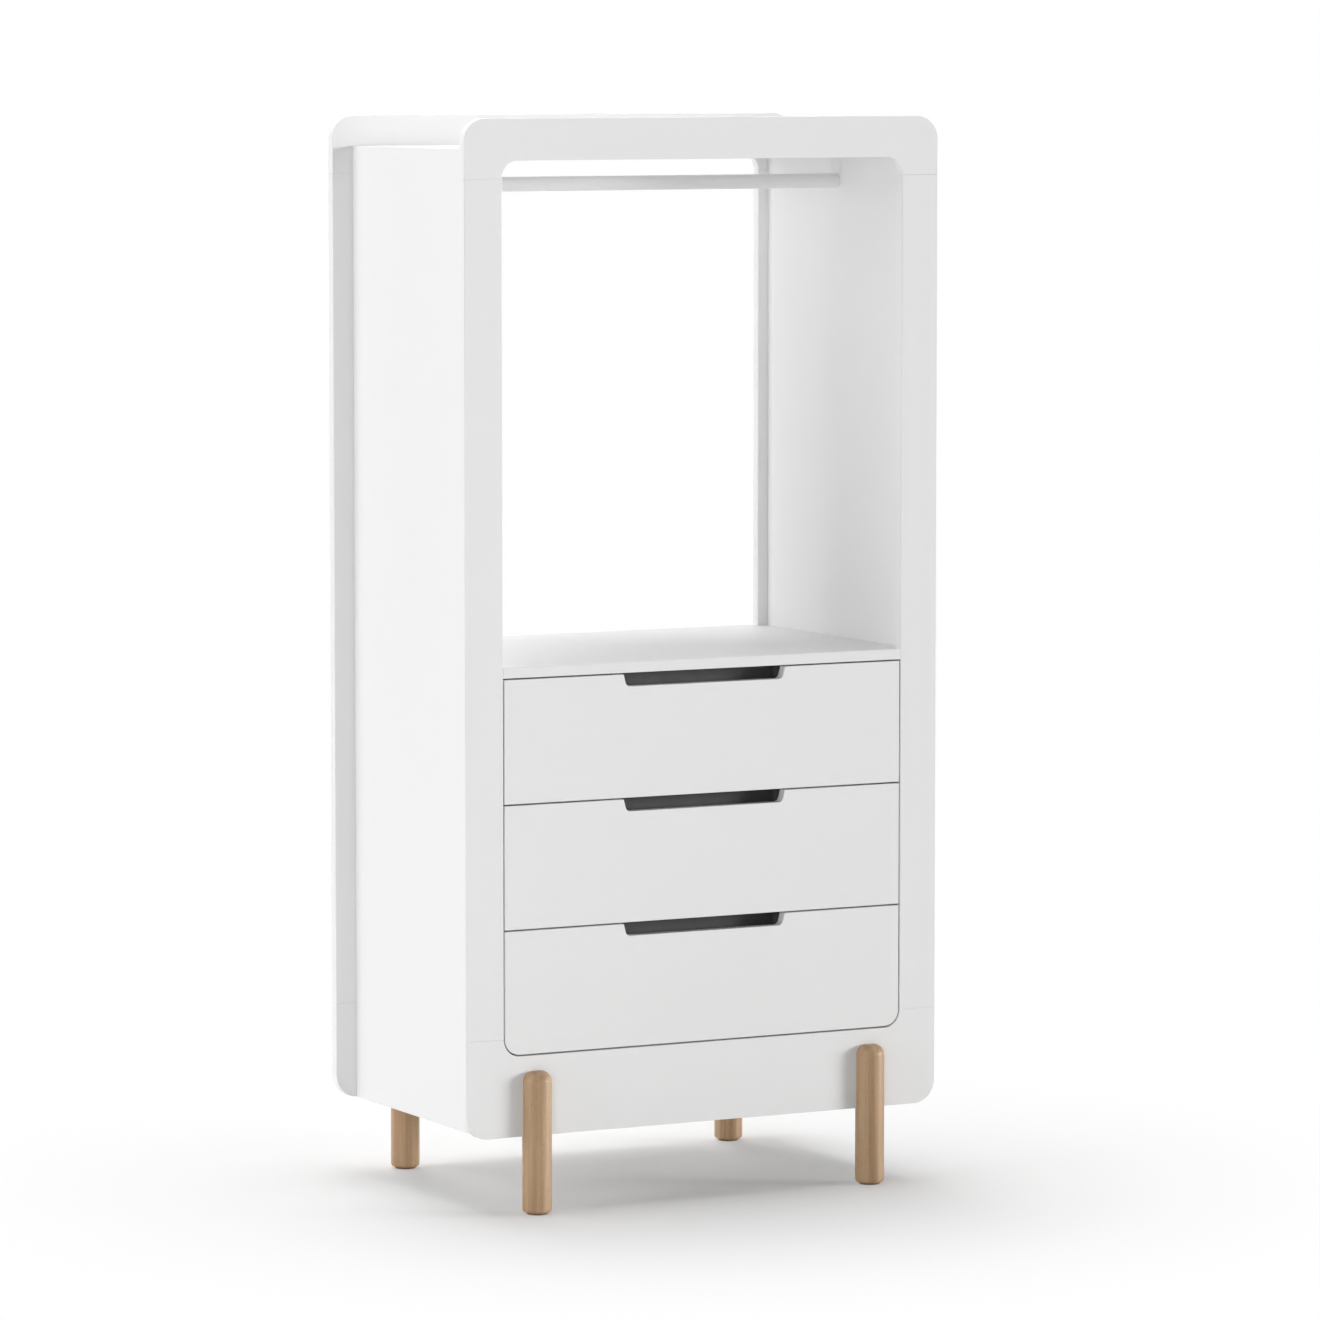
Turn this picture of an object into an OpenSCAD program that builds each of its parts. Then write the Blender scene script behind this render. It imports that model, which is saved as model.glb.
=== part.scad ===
// Open wardrobe: two identical rounded frames carry a hanging space over three drawers.
// The boards, panels, legs, drawer boxes, finger pulls and telescopic runners are separate solids.
// x runs to the right, y to the back and z up. The origin is on the floor, in the middle.

/* [Overall] */
// Width over the frames
frame_w = 900; // [800:10:1200]
// Height from the floor to the top of the frames
total_h = 1832; // [1600:4:2200]
// Depth from the front face of the front frame to the back face of the back frame
depth = 532; // [520:2:700]
// Height of the lower edge of the frames above the floor
leg_clear = 132; // [90:1:200]

/* [Frames] */
// Thickness of the frame boards and of the drawer fronts
board_t = 18; // [16:1:22]
// Width of the upright frame boards
stile_w = 70; // [66:1:90]
// Height of the upper frame rail above the opening
top_rail_h = 70; // [60:1:110]
// Height of the lower frame rail below the opening
bottom_rail_h = 136; // [132:1:180]
// Radius of the outer corners of the frames
corner_out = 40; // [10:1:60]
// Radius of the inner corners of the frames
corner_in = 30; // [24:1:45]
// Diameter of the dowels between rails and uprights
frame_dowel_d = 8; // [6:0.5:9]
// Length of the dowels between rails and uprights
frame_dowel_l = 40; // [24:2:44]
// Distance between the two dowels of one frame joint
frame_dowel_pitch = 36; // [20:1:48]

/* [Panels] */
// Thickness of the side panels
side_t = 12; // [12:0.5:15]
// Distance from the outer edge of a frame to the outer face of the side panel
side_inset = 38; // [26:1:42]
// Thickness of the top panel, the deck and the bottom panel
shelf_t = 18; // [16:1:22]
// Thickness of the back panel behind the drawers
back_t = 6; // [4:0.5:9]
// Diameter of the dowels in the panels and battens
panel_dowel_d = 6; // [5:0.5:7]
// Length of the dowels in the panels and battens
panel_dowel_l = 20; // [16:1:21]
// Number of dowels along each upright edge of a side panel
side_dowels = 6; // [3:1:9]
// Distance from the end of a panel edge to its first dowel
dowel_margin = 90; // [80:1:100]

/* [Hanging rail] */
// Outer diameter of the rail
rail_d = 25; // [20:1:32]
// Wall of the rail tube
rail_wall = 1.5; // [1:0.1:2.5]
// Distance from the underside of the top panel to the axis of the rail
rail_drop = 45; // [30:1:90]
// Length of the end plugs inside the rail
plug_l = 25; // [12:1:50]
// Diameter of the peg on each end plug
peg_d = 10; // [6:0.5:14]
// Length of the peg on each end plug
peg_l = 8; // [5:0.5:10]

/* [Legs] */
// Diameter of the legs
leg_d = 50; // [40:1:60]
// Distance from the outer edge of a frame to the axis of a leg
leg_inset = 130; // [90:1:200]
// Distance that the axis of a leg stands in front of the face it is lapped on
leg_axis_out = 3; // [0:0.5:8]
// Height that a leg laps up the frame rail
leg_lap = 110; // [90:1:113]
// Radius of the rounded top of a leg
leg_top_r = 18; // [6:1:19]
// Radius of the rounded foot of a leg
leg_foot_r = 6; // [2:0.5:9]
// Diameter of the leg bolts
leg_bolt_d = 6; // [5:0.5:8]
// Length of the threaded inserts in the legs
insert_l = 15; // [10:1:18]
// Wall of the threaded inserts
insert_wall = 2; // [1.5:0.1:2.5]
// Distance of the bolts from the rail's lower edge and from the top of the leg
bolt_margin = 32; // [28:1:38]
// Thickness of the glides under the legs
glide_h = 3; // [2:0.5:5]
// Distance from the flat of the foot to the edge of the glide
glide_margin = 1; // [0.5:0.5:4]

/* [Drawers] */
// Height of each drawer front
drawer_front_h = 208.5; // [190:0.5:240]
// Gap round each drawer front
drawer_gap = 2.5; // [1.5:0.5:4]
// Thickness of the drawer sides and drawer backs
drawer_side_t = 12; // [11:0.5:16]
// Height of the drawer sides
drawer_side_h = 150; // [120:1:160]
// Room between the drawer backs and the back panel
drawer_back_room = 40; // [30:1:160]
// Distance from the lower edge of a front to the lower edge of its sides
drawer_side_lift = 22; // [14:1:26]
// Thickness of the drawer bottoms
drawer_bottom_t = 5; // [4:0.5:6]
// Distance from the lower edge of the sides to the groove for the bottom
groove_lift = 10; // [8:1:15]
// Depth of the groove for the bottom
groove_d = 6; // [4:0.5:7]

/* [Finger pulls] */
// Width of the notch at the top edge of each front
notch_w = 308; // [160:2:400]
// Height of the notch
notch_h = 20.5; // [15:0.5:26]
// Radius of the lower corners of the notch
notch_r = 9; // [3:0.5:12]
// Lean of the ends of the notch, outwards to the top, in degrees
notch_lean = 14; // [0:1:20]
// Depth of the finger trough behind the front
trough_d = 26; // [20:1:40]
// Wall of the finger trough
trough_wall = 2.4; // [1.6:0.2:3.2]
// Distance from the notch down to the floor of the trough
trough_drop = 14; // [8:1:22]
// Distance that each end of the trough's inside lies beyond the end of the notch
trough_room = 8; // [0:0.5:9]
// Radius of the trough's lower and end corners, outside
trough_r = 14; // [6:0.5:16]
// Width of the trough's rim on the back of the front
rim_w = 12; // [6:1:18]

/* [Runners] */
// Height of the runners
runner_h = 45; // [40:1:50]
// Thickness of a closed runner
runner_w = 12.7; // [12.2:0.1:14]
// Steel thickness of the runner members
steel_t = 1.2; // [1:0.1:1.4]
// Running gap between two runner members
running_gap = 0.3; // [0.2:0.05:0.5]
// Depth that the inner member's feet reach behind the lips
foot_reach = 3.5; // [2.5:0.1:5]
// Distance from the lips of the outer member to the drawer side
lip_setback = 2.2; // [1.8:0.1:2.8]
// Distance from the lower edge of the drawer sides to the middle of the runner
runner_lift = 75; // [62:1:90]
// Distance from the back of the front frame to the front end of the runners
runner_setback = 2; // [1:0.5:8]
// Height of the battens that carry the runners
batten_h = 54; // [50:1:64]
// Distance from the end of a runner to its first screw
screw_margin = 35; // [20:1:60]
// Diameter of the runner screws
screw_d = 3.5; // [3:0.5:4]
// Length of the runner screws under the head
screw_l = 10; // [8:0.5:10.5]
// Diameter of the screw heads
screw_head_d = 7; // [6:0.5:8]

/* [Hidden] */
$fn = 64;

// Colours as seen
white_paint = "#f1f1f0";
white_inside = "#e9e9e7";
beech = "#dcbd97";
dark_plastic = "#3b3c3e";
bright_steel = "#b9bcc0";
brass_yellow = "#c8a75a";

// Numbering of the drawers from the bottom
drawer_count = 3;
bottom = 0;
middle = 1;
top = drawer_count - 1;
// Sides of the wardrobe
left = -1;
right = 1;

// Clearances
cut = 1; // overshoot of every cutting solid past the face it cuts
hole_fit = 0.1; // radial gap of dowels, pegs, plugs and bolts in their holes
end_fit = 1; // extra depth of a blind hole past the end of a dowel or bolt
bolt_fit = 0.3; // radial gap of a bolt in the board it passes through
groove_fit = 0.1; // gap of a drawer bottom on each face and edge in its groove

// Places along y, with the middle of the whole depth at zero: the front legs stand out in front
// of the frames, and the feet of the rear legs may reach out behind them
leg_out = leg_d / 2 + leg_axis_out;
leg_back = max(0, leg_d / 2 - leg_axis_out - board_t);
front_y = leg_out - (leg_out + depth + leg_back) / 2;
back_y = front_y + depth;
inner_front_y = front_y + board_t;
inner_back_y = back_y - board_t;
back_panel_y = inner_back_y - back_t;
mid_y = (front_y + back_y) / 2;
box_back_y = back_panel_y - drawer_back_room;
drawer_side_l = box_back_y - inner_front_y;
runner_l = drawer_side_l; // runners are as long as the drawer sides
runner_y = inner_front_y + runner_setback;

// Places along x, as distances from the middle
half_w = frame_w / 2;
opening_x = half_w - stile_w;
side_out_x = half_w - side_inset;
side_in_x = side_out_x - side_t;
side_mid_x = side_out_x - side_t / 2;
stile_mid_x = half_w - stile_w / 2;
box_x = opening_x - runner_w;
box_in_x = box_x - drawer_side_t;
leg_x = half_w - leg_inset;

// Heights
opening_low_z = leg_clear + bottom_rail_h;
opening_top_z = total_h - top_rail_h;
seam_low_z = opening_low_z + corner_in;
seam_top_z = opening_top_z - corner_in;
panel_top_z = opening_top_z + shelf_t;
deck_low_z = opening_low_z + drawer_count * drawer_front_h + (drawer_count + 1) * drawer_gap;
deck_top_z = deck_low_z + shelf_t;
rail_z = opening_top_z - rail_drop;
leg_top_z = leg_clear + leg_lap;

function front_low_z(i) = opening_low_z + drawer_gap + i * (drawer_front_h + drawer_gap);
function box_low_z(i) = front_low_z(i) + drawer_side_lift;
function runner_z(i) = box_low_z(i) + runner_lift;

// Values spread evenly from the first to the last
function spread(first, last, n) = [for (i = [0 : n - 1]) first + i * (last - first) / (n - 1)];

// Dowel and screw places
frame_dowel_half = frame_dowel_l / 2;
dowel_in_side = side_t * 2 / 3;
dowel_in_shelf = panel_dowel_l - dowel_in_side;
dowel_chamfer = 0.6;
side_dowel_z = spread(leg_clear + dowel_margin, panel_top_z - dowel_margin, side_dowels);
shelf_dowel_y = spread(inner_front_y + dowel_margin, inner_back_y - dowel_margin, 3);
shelf_mid_z = [opening_top_z + shelf_t / 2, deck_low_z + shelf_t / 2, opening_low_z - shelf_t / 2];
batten_dowel_y = spread(inner_front_y + dowel_margin, back_panel_y - dowel_margin, 3);
batten_dowel_up = 15; // height of the batten dowels above the runner's middle
screw_y = spread(runner_y + screw_margin, runner_y + runner_l - screw_margin, 3);
pilot_fit = 0.05; // radial gap of a screw in its hole
head_h = 1.4; // height of a pan head
head_room = 0.2; // gap between a screw head and the runner member that passes it
sink_h = 2.2; // height of a countersunk head
back_screw_l = 16; // length of a back panel screw with its head
back_screw_up = 14; // height of a back panel screw above the lower edge of a drawer front
back_screw_x = (opening_x + side_in_x) / 2;
drawer_dowel_up = 38; // height of the lower dowel above the lower edge of a drawer side
drawer_dowel_down = 22; // distance of the upper dowel below the top edge of a drawer side
drawer_dowel_z = [drawer_dowel_up, drawer_side_h - drawer_dowel_down];
drawer_dowel_in_side = drawer_side_t / 2;

// Leg fastening
bolt_z = [leg_clear + bolt_margin, leg_top_z - bolt_margin];
bolt_head_d = leg_bolt_d * 2;
bolt_head_h = 3.2;
bolt_socket_d = leg_bolt_d * 0.75;
bolt_socket_h = 2;
insert_d = leg_bolt_d + 2 * hole_fit + 2 * insert_wall;
glide_d = leg_d - 2 * leg_foot_r - 2 * glide_margin;
glide_pin_d = 5;
glide_pin_l = 14;
glide_chamfer = 0.8;

// Basic shapes

// Draws a flat shape in the plane of the frames, from y0 to y0 + t
module upright(y0, t) {
  translate([0, y0 + t, 0])
    rotate([90, 0, 0])
      linear_extrude(height = t)
        children();
}

module box_between(low, high) {
  translate(low)
    cube(high - low);
}

module rounded_rect(low, high, r) {
  translate([low.x + r, low.y])
    square([high.x - low.x - 2 * r, high.y - low.y]);
  translate([low.x, low.y + r])
    square([high.x - low.x, high.y - low.y - 2 * r]);
  for (x = [low.x + r, high.x - r], y = [low.y + r, high.y - r])
    translate([x, y])
      circle(r = r);
}

// Rod with its start at the origin, along +z
module dowel(d, l) {
  cylinder(h = dowel_chamfer, d1 = d - 2 * dowel_chamfer, d2 = d);
  translate([0, 0, dowel_chamfer])
    cylinder(h = l - 2 * dowel_chamfer, d = d);
  translate([0, 0, l - dowel_chamfer])
    cylinder(h = dowel_chamfer, d1 = d, d2 = d - 2 * dowel_chamfer);
}

module along_y() {
  rotate([-90, 0, 0])
    children();
}

// Turns +z to +x on the right and to -x on the left
module along_x(side) {
  rotate([0, side * 90, 0])
    children();
}

// Pan head screw: the head lies below z = 0 and the shank points along +z
module pan_screw() {
  translate([0, 0, -head_h])
    cylinder(h = head_h, d = screw_head_d);
  cylinder(h = screw_l, d = screw_d);
}

module pan_screw_hole() {
  translate([0, 0, -cut])
    cylinder(h = screw_l + pilot_fit + cut, d = screw_d + 2 * pilot_fit);
}

// Frames: one loop outline, cut at the seams into two rails, with plain uprights between

module frame_outline() {
  difference() {
    rounded_rect([-half_w, leg_clear], [half_w, total_h], corner_out);
    rounded_rect([-opening_x, opening_low_z], [opening_x, opening_top_z], corner_in);
  }
}

module frame_band(low_z, high_z) {
  intersection() {
    frame_outline();
    translate([-half_w, low_z])
      square([frame_w, high_z - low_z]);
  }
}

// Places of the dowels of one frame, each with its middle on the seam
module at_frame_dowels(y0) {
  for (side = [left, right], z = [seam_low_z, seam_top_z], dx = [-frame_dowel_pitch / 2, frame_dowel_pitch / 2])
    translate([side * stile_mid_x + dx, y0 + board_t / 2, z])
      children();
}

module frame_dowel_holes(y0) {
  at_frame_dowels(y0)
    translate([0, 0, -frame_dowel_half - end_fit])
      cylinder(h = frame_dowel_l + 2 * end_fit, d = frame_dowel_d + 2 * hole_fit);
}

// Places of the dowels between the side panels and both frames, with z along +y
module at_side_dowels() {
  for (side = [left, right], z = side_dowel_z, y = [inner_front_y, inner_back_y])
    translate([side * side_mid_x, y, z])
      along_y()
        children();
}

module side_dowel_holes() {
  at_side_dowels()
    translate([0, 0, -panel_dowel_l / 2 - end_fit])
      cylinder(h = panel_dowel_l + 2 * end_fit, d = panel_dowel_d + 2 * hole_fit);
}

// Places of the bolts through one bottom rail, on its back face, with z to the front
module at_leg_bolts(y0) {
  for (side = [left, right], z = bolt_z)
    translate([side * leg_x, y0 + board_t, z])
      rotate([90, 0, 0])
        children();
}

module leg_bolt_holes(y0) {
  at_leg_bolts(y0) {
    translate([0, 0, -cut])
      cylinder(h = board_t + 2 * cut, d = leg_bolt_d + 2 * bolt_fit);
    translate([0, 0, -cut])
      cylinder(h = bolt_head_h + cut, d = bolt_head_d + 2 * bolt_fit);
  }
}

module top_rail(y0) {
  color(white_paint)
    difference() {
      upright(y0, board_t)
        frame_band(seam_top_z, total_h);
      frame_dowel_holes(y0);
      side_dowel_holes();
    }
}

module bottom_rail(y0) {
  color(white_paint)
    difference() {
      upright(y0, board_t)
        frame_band(leg_clear, seam_low_z);
      frame_dowel_holes(y0);
      side_dowel_holes();
      leg_bolt_holes(y0);
    }
}

module stile(side, y0) {
  color(white_paint)
    difference() {
      translate([side * stile_mid_x - stile_w / 2, y0, seam_low_z])
        cube([stile_w, board_t, seam_top_z - seam_low_z]);
      frame_dowel_holes(y0);
      side_dowel_holes();
      if (y0 > mid_y)
        back_screw_holes();
    }
}

module frame_dowels() {
  color(beech)
    for (y0 = [front_y, inner_back_y])
      at_frame_dowels(y0)
        translate([0, 0, -frame_dowel_half])
          dowel(frame_dowel_d, frame_dowel_l);
}

// Panels between the two frames

// Places of the dowels between shelves and side panels, on the panel's inner face
module at_shelf_dowels() {
  for (side = [left, right], y = shelf_dowel_y, z = shelf_mid_z)
    translate([side * side_in_x, y, z])
      along_x(side)
        children();
}

module at_batten_dowels() {
  for (side = [left, right], y = batten_dowel_y, i = [bottom : top])
    translate([side * side_in_x, y, runner_z(i) + batten_dowel_up])
      along_x(side)
        children();
}

// Dowel across the inner face of a side panel, which lies at z = 0
module cross_dowel() {
  translate([0, 0, -dowel_in_shelf])
    dowel(panel_dowel_d, panel_dowel_l);
}

module cross_dowel_hole() {
  translate([0, 0, -dowel_in_shelf - end_fit])
    cylinder(h = panel_dowel_l + 2 * end_fit, d = panel_dowel_d + 2 * hole_fit);
}

module side_panel(side) {
  color(white_paint)
    difference() {
      translate([side * side_mid_x - side_t / 2, inner_front_y, leg_clear])
        cube([side_t, inner_back_y - inner_front_y, panel_top_z - leg_clear]);
      side_dowel_holes();
      at_shelf_dowels()
        cross_dowel_hole();
      at_batten_dowels()
        cross_dowel_hole();
      translate([side * side_in_x, mid_y, rail_z])
        along_x(side)
          translate([0, 0, -cut])
            cylinder(h = peg_l + hole_fit + cut, d = peg_d + 2 * hole_fit);
    }
}

// Shelf from one side panel to the other, between the frames
module shelf(low_z, back_end_y) {
  box_between([-side_in_x, inner_front_y, low_z], [side_in_x, back_end_y, low_z + shelf_t]);
}

module top_panel() {
  color(white_paint)
    difference() {
      shelf(opening_top_z, inner_back_y);
      at_shelf_dowels()
        cross_dowel_hole();
    }
}

module bottom_panel() {
  color(white_paint)
    difference() {
      shelf(opening_low_z - shelf_t, inner_back_y);
      at_shelf_dowels()
        cross_dowel_hole();
    }
}

// The deck runs through both frames, so its four corners are notched round the uprights
module deck_panel() {
  color(white_paint)
    difference() {
      union() {
        shelf(deck_low_z, inner_back_y);
        box_between([-opening_x, front_y, deck_low_z], [opening_x, back_y, deck_top_z]);
      }
      at_shelf_dowels()
        cross_dowel_hole();
    }
}

module panel_dowels() {
  color(beech) {
    at_side_dowels()
      translate([0, 0, -panel_dowel_l / 2])
        dowel(panel_dowel_d, panel_dowel_l);
    at_shelf_dowels()
      cross_dowel();
    at_batten_dowels()
      cross_dowel();
  }
}

// Places of the screws that hold the back panel on the back frame, with z to the back
module at_back_screws() {
  for (side = [left, right], i = [bottom : top])
    translate([side * back_screw_x, back_panel_y, max(front_low_z(i) + back_screw_up, seam_low_z + screw_head_d)])
      along_y()
        children();
}

module sunk_screw(d, head_d, l) {
  cylinder(h = sink_h, d1 = head_d, d2 = d);
  cylinder(h = l, d = d);
}

module back_screw_holes() {
  at_back_screws()
    sunk_screw(screw_d + 2 * pilot_fit, screw_head_d + 2 * pilot_fit, back_screw_l + pilot_fit);
}

module back_panel() {
  color(white_inside)
    difference() {
      box_between([-side_in_x, back_panel_y, opening_low_z], [side_in_x, inner_back_y, deck_low_z]);
      back_screw_holes();
    }
}

module back_panel_screws() {
  color(bright_steel)
    at_back_screws()
      sunk_screw(screw_d, screw_head_d, back_screw_l);
}

// Hanging rail: a steel tube on a plug at each end, whose peg seats in the side panel

module hanging_rail() {
  color(white_paint)
    translate([-side_in_x, mid_y, rail_z])
      along_x(right)
        difference() {
          cylinder(h = 2 * side_in_x, d = rail_d);
          translate([0, 0, -cut])
            cylinder(h = 2 * side_in_x + 2 * cut, d = rail_d - 2 * rail_wall);
        }
}

module rail_plugs() {
  color(dark_plastic)
    for (side = [left, right])
      translate([side * side_in_x, mid_y, rail_z])
        along_x(side) {
          translate([0, 0, -plug_l])
            cylinder(h = plug_l, d = rail_d - 2 * rail_wall - 2 * hole_fit);
          cylinder(h = peg_l, d = peg_d);
        }
}

// Legs: turned rods, lapped over the front face and the lower edge of a bottom rail

module leg_profile() {
  r = leg_d / 2;
  translate([0, glide_h])
    square([r - leg_foot_r, leg_foot_r]);
  translate([0, glide_h + leg_foot_r])
    square([r, leg_top_z - glide_h - leg_foot_r - leg_top_r]);
  translate([0, leg_top_z - leg_top_r])
    square([r - leg_top_r, leg_top_r]);
  intersection() {
    union() {
      translate([r - leg_foot_r, glide_h + leg_foot_r])
        circle(r = leg_foot_r);
      translate([r - leg_top_r, leg_top_z - leg_top_r])
        circle(r = leg_top_r);
    }
    square([r, leg_top_z]);
  }
}

module leg(side, y0) {
  color(beech)
    difference() {
      translate([side * leg_x, y0 - leg_axis_out, 0])
        rotate_extrude()
          leg_profile();
      translate([side * leg_x - leg_d, y0, leg_clear])
        cube([2 * leg_d, leg_d, leg_lap + cut]);
      at_leg_bolts(y0)
        translate([0, 0, board_t - cut])
          cylinder(h = insert_l + end_fit + cut, d = insert_d + 2 * hole_fit);
      translate([side * leg_x, y0 - leg_axis_out, glide_h - cut])
        cylinder(h = glide_pin_l + end_fit + cut, d = glide_pin_d + 2 * hole_fit);
    }
}

module leg_inserts() {
  color(brass_yellow)
    for (y0 = [front_y, inner_back_y])
      at_leg_bolts(y0)
        translate([0, 0, board_t])
          difference() {
            cylinder(h = insert_l, d = insert_d);
            translate([0, 0, -cut])
              cylinder(h = insert_l + 2 * cut, d = leg_bolt_d + 2 * hole_fit);
          }
}

module leg_bolts() {
  color(bright_steel)
    for (y0 = [front_y, inner_back_y])
      at_leg_bolts(y0)
        difference() {
          union() {
            cylinder(h = bolt_head_h, d = bolt_head_d);
            cylinder(h = board_t + insert_l, d = leg_bolt_d);
          }
          translate([0, 0, -cut])
            cylinder(h = bolt_socket_h + cut, d = bolt_socket_d, $fn = 6);
        }
}

module leg_glides() {
  color(dark_plastic)
    for (side = [left, right], y0 = [front_y, inner_back_y])
      translate([side * leg_x, y0 - leg_axis_out, 0]) {
        cylinder(h = glide_chamfer, d1 = glide_d - 2 * glide_chamfer, d2 = glide_d);
        translate([0, 0, glide_chamfer])
          cylinder(h = glide_h - glide_chamfer, d = glide_d);
        cylinder(h = glide_h + glide_pin_l, d = glide_pin_d);
      }
}

// Telescopic runners: three nested steel profiles. In each outline x is the distance
// from the batten's face towards the drawer and y the height from the runner's middle.

outer_h = runner_h / 2;
channel_h = outer_h - steel_t;
inter_h = channel_h - running_gap;
inter_channel_h = inter_h - steel_t;
feet_h = inter_channel_h - running_gap;
inter_mouth_h = feet_h - foot_reach;
inner_h = inter_mouth_h - running_gap;
outer_end = runner_w - lip_setback;
inter_end = outer_end - steel_t - running_gap;
feet_end = inter_end - steel_t - running_gap;
inter_web = steel_t + head_h + head_room;

module both_halves() {
  children();
  mirror([0, 1])
    children();
}

module span(x0, x1, y0, y1) {
  translate([x0, y0])
    square([x1 - x0, y1 - y0]);
}

// Outer channel, fixed to the batten
module cabinet_profile() {
  both_halves() {
    span(0, steel_t, 0, outer_h);
    span(0, outer_end, channel_h, outer_h);
    span(outer_end - steel_t, outer_end, inter_channel_h, outer_h);
  }
}

// Channel that travels half as far as the drawer
module intermediate_profile() {
  both_halves() {
    span(inter_web, inter_web + steel_t, 0, inter_h);
    span(inter_web, inter_end, inter_channel_h, inter_h);
    span(inter_end - steel_t, inter_end, inter_mouth_h, inter_h);
  }
}

// Hat profile, fixed to the drawer side, with its feet behind the lips of the channel
module drawer_profile() {
  both_halves() {
    span(runner_w - steel_t, runner_w, 0, inner_h);
    span(feet_end - steel_t, runner_w, inner_h - steel_t, inner_h);
    span(feet_end - steel_t, feet_end, inner_h - steel_t, feet_h);
  }
}

// Runs a runner profile along y on one side of the wardrobe, at the height of drawer i
module runner(side, i) {
  translate([side * opening_x, runner_y, runner_z(i)])
    mirror([side > 0 ? 1 : 0, 0, 0])
      translate([0, runner_l, 0])
        rotate([90, 0, 0])
          linear_extrude(height = runner_l)
            children();
}

// Places of the screws on the batten's face, with z into the batten
module at_batten_screws() {
  for (side = [left, right], y = screw_y, i = [bottom : top])
    translate([side * opening_x, y, runner_z(i)])
      along_x(side)
        translate([0, 0, -steel_t])
          children();
}

// Places of the screws on the drawer side, with z into the side
module at_drawer_screws(i) {
  for (side = [left, right], y = screw_y)
    translate([side * box_x, y, runner_z(i)])
      along_x(-side)
        translate([0, 0, -steel_t])
          children();
}

module cabinet_runners() {
  color(bright_steel)
    difference() {
      for (side = [left, right], i = [bottom : top])
        runner(side, i)
          cabinet_profile();
      at_batten_screws()
        pan_screw_hole();
    }
}

module cabinet_runner_screws() {
  color(bright_steel)
    at_batten_screws()
      pan_screw();
}

module intermediate_runners(i) {
  color(bright_steel)
    for (side = [left, right])
      runner(side, i)
        intermediate_profile();
}

module drawer_runners(i) {
  color(bright_steel)
    difference() {
      for (side = [left, right])
        runner(side, i)
          drawer_profile();
      at_drawer_screws(i)
        pan_screw_hole();
    }
}

module drawer_screws(i) {
  color(bright_steel)
    at_drawer_screws(i)
      pan_screw();
}

// Battens fill the depth behind the uprights, so the runners clear the opening
module battens(side) {
  color(beech)
    difference() {
      for (i = [bottom : top])
        translate([side > 0 ? opening_x : -side_in_x, inner_front_y, runner_z(i) - batten_h / 2])
          cube([side_in_x - opening_x, back_panel_y - inner_front_y, batten_h]);
      at_batten_dowels()
        cross_dowel_hole();
      at_batten_screws()
        pan_screw_hole();
    }
}

// Drawers: the front closes the box, and the bottom runs in a groove all round

groove_low = groove_lift;
groove_high = groove_lift + drawer_bottom_t + 2 * groove_fit;

// Outline of a front in the plane of the frames: the lowest one follows the frame's inner corners
module front_outline(i) {
  low = [-opening_x + drawer_gap, front_low_z(i)];
  high = [opening_x - drawer_gap, front_low_z(i) + drawer_front_h];
  corner = corner_in - drawer_gap;
  if (i == bottom) {
    rounded_rect(low, high, corner);
    translate([low.x, high.y - 2 * corner])
      square([high.x - low.x, 2 * corner]);
  } else {
    translate(low)
      square(high - low);
  }
}

// Notch outline, with the middle of its lower edge at the origin: its ends lean outwards to the top,
// its lower corners are round, and it runs on past the top edge of the front
module notch_outline() {
  lean = tan(notch_lean);
  corner_x = notch_w / 2 - (notch_h - notch_r) * lean - notch_r / cos(notch_lean);
  touch = [corner_x + notch_r * cos(notch_lean), notch_r * (1 - sin(notch_lean))];
  end = [notch_w / 2 + cut * lean, notch_h + cut];
  polygon([[-corner_x, 0], [corner_x, 0], touch, end, [-end.x, end.y], [-touch.x, touch.y]]);
  for (side = [left, right])
    translate([side * corner_x, notch_r])
      circle(r = notch_r);
}

// Places of the dowels of one drawer box, with z along +y at the front and across at the back
module at_front_dowels(i) {
  for (side = [left, right], z = drawer_dowel_z)
    translate([side * (box_x - drawer_side_t / 2), inner_front_y, box_low_z(i) + z])
      along_y()
        translate([0, 0, -panel_dowel_l / 2])
          children();
}

module at_back_dowels(i) {
  for (side = [left, right], z = drawer_dowel_z)
    translate([side * box_in_x, box_back_y - drawer_side_t / 2, box_low_z(i) + z])
      along_x(side)
        translate([0, 0, drawer_dowel_in_side - panel_dowel_l])
          children();
}

module drawer_dowels(i) {
  color(beech) {
    at_front_dowels(i)
      dowel(panel_dowel_d, panel_dowel_l);
    at_back_dowels(i)
      dowel(panel_dowel_d, panel_dowel_l);
  }
}

module drawer_dowel_hole() {
  translate([0, 0, -end_fit])
    cylinder(h = panel_dowel_l + 2 * end_fit, d = panel_dowel_d + 2 * hole_fit);
}

// Space of the drawer bottom, larger by fit on every side
module bottom_space(i, fit) {
  x = box_in_x + groove_d - groove_fit + fit;
  box_between(
    [-x, inner_front_y - groove_d + groove_fit - fit, box_low_z(i) + groove_low + groove_fit - fit],
    [x, box_back_y - drawer_side_t + groove_d - groove_fit + fit, box_low_z(i) + groove_high - groove_fit + fit]
  );
}

module drawer_front(i) {
  color(white_paint)
    difference() {
      upright(front_y, board_t)
        difference() {
          front_outline(i);
          translate([0, front_low_z(i) + drawer_front_h - notch_h])
            notch_outline();
        }
      at_front_dowels(i)
        drawer_dowel_hole();
      bottom_space(i, groove_fit);
    }
}

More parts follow.
